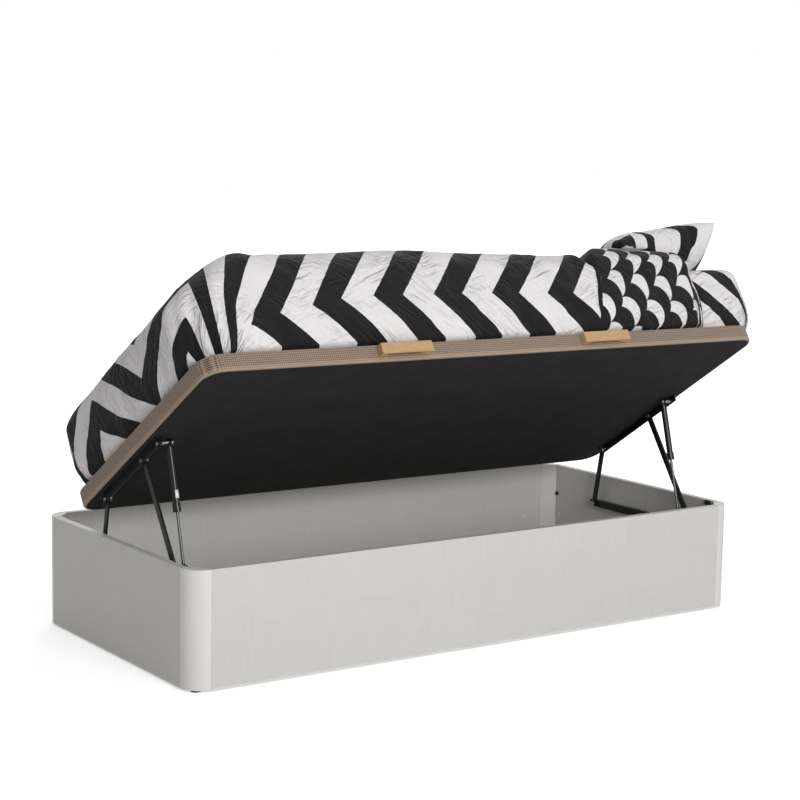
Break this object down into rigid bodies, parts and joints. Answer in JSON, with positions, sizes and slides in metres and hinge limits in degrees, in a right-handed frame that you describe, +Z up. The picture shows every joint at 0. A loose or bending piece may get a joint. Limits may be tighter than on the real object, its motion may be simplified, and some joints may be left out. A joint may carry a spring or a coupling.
{
  "type": "side-lift storage bed",
  "caption": "Single storage bed: a low panelled box whose padded lid, with made-up bedding, swings up sideways on arms and gas struts.",
  "frame": {"origin": "on the floor under the middle of the box, at the centre foot", "axes": "+X along the bed to its head end, +Y from the open side to the rear side, +Z up"},
  "size_m": [1.949, 0.9923, 1.1815],
  "materials": {
    "laminate": "pale grey laminate on board, fine grain, satin",
    "edging": "pale grey wrapped profile, satin",
    "hardboard": "pale faced board, matte",
    "softwood": "plain planed softwood",
    "rubber": "black, matte",
    "black_steel": "black powder coat, semi-gloss",
    "zinc_steel": "zinc plated",
    "beech": "lacquered beech, satin",
    "mesh_fabric": "taupe three-dimensional mesh fabric",
    "backing_cloth": "black non-woven cloth",
    "sheet_cotton": "white cotton with black stripes",
    "duvet_cotton": "white cotton with black zigzag bands",
    "turndown_cotton": "black cotton with rows of white scallops",
    "pillow_cotton": "white cotton with black leaf shapes"
  },
  "bodies": {
    "root": {"front_panel": "laminate", "rear_panel": "laminate", "foot_panel": "laminate", "head_panel": "laminate", "corner_post_front_foot": "edging", "corner_post_front_head": "edging", "corner_post_rear_foot": "edging", "corner_post_rear_head": "edging", "post_cap_front_foot": "edging", "post_cap_front_head": "edging", "post_cap_rear_foot": "edging", "post_cap_rear_head": "edging", "glide_front_foot": "rubber", "glide_front_head": "rubber", "glide_rear_foot": "rubber", "glide_rear_head": "rubber", "floor_cleat_front": "softwood", "floor_cleat_rear": "softwood", "centre_batten": "softwood", "centre_foot": "rubber", "floor_board_foot": "hardboard", "floor_board_head": "hardboard", "lid_buffer_foot": "rubber", "lid_buffer_head": "rubber", "base_rail_foot": "black_steel", "base_rail_head": "black_steel", "rear_pivot_bolt_foot": "zinc_steel", "rear_pivot_bolt_head": "zinc_steel", "strut_stud_lower_foot": "zinc_steel", "strut_stud_lower_head": "zinc_steel"},
    "rear_arms": {"rear_arm_foot": "black_steel", "rear_arm_head": "black_steel"},
    "lid": {"lid_cover": "mesh_fabric", "underside_cloth": "backing_cloth", "lid_frame": "softwood", "lid_board": "hardboard", "handle_foot": "beech", "handle_head": "beech", "lid_bracket_foot": "black_steel", "lid_bracket_head": "black_steel", "rear_arm_bolt_foot": "zinc_steel", "rear_arm_bolt_head": "zinc_steel", "front_arm_bolt_foot": "zinc_steel", "front_arm_bolt_head": "zinc_steel", "strut_stud_upper_foot": "zinc_steel", "strut_stud_upper_head": "zinc_steel", "mattress": "sheet_cotton", "duvet": "duvet_cotton", "duvet_turndown": "turndown_cotton", "pillow": "pillow_cotton"},
    "front_arms": {"front_arm_foot": "black_steel", "front_arm_head": "black_steel"},
    "gas_cylinders": {"gas_cylinder_foot": "black_steel", "gas_cylinder_head": "black_steel"},
    "gas_rods": {"gas_rod_foot": "zinc_steel", "gas_rod_head": "zinc_steel"}
  },
  "joints": [
    {"name": "rear_arm_swing", "type": "hinge", "parent": "root", "child": "rear_arms", "pos_m": [0, 0.159, 0.23], "axis": [1, 0, 0], "range_deg": [-74.65, 0]},
    {"name": "lid_lift", "type": "hinge", "parent": "rear_arms", "child": "lid", "pos_m": [0, 0.12285, 0.41933], "axis": [1, 0, 0], "range_deg": [0, 107.24]},
    {"name": "front_arm_swing", "type": "hinge", "parent": "lid", "child": "front_arms", "pos_m": [0, -0.09872, 0.56103], "axis": [1, 0, 0], "range_deg": [-76.52, 0]},
    {"name": "strut_swing", "type": "hinge", "parent": "lid", "child": "gas_cylinders", "pos_m": [0, -0.19277, 0.61999], "axis": [1, 0, 0], "range_deg": [-85.22, 0]},
    {"name": "rod_slide", "type": "slide", "parent": "gas_cylinders", "child": "gas_rods", "axis": [0, -0.2502, -0.9682], "range_m": [-0.1486, 0]}
  ],
  "couplings": [
    {"joint": "rear_arm_swing", "follows": "lid_lift", "ratio": -0.69602},
    {"joint": "front_arm_swing", "follows": "lid_lift", "ratio": -0.71344},
    {"joint": "strut_swing", "follows": "lid_lift", "ratio": -0.79453},
    {"joint": "rod_slide", "follows": "lid_lift", "m_per_rad": -0.079358}
  ]
}
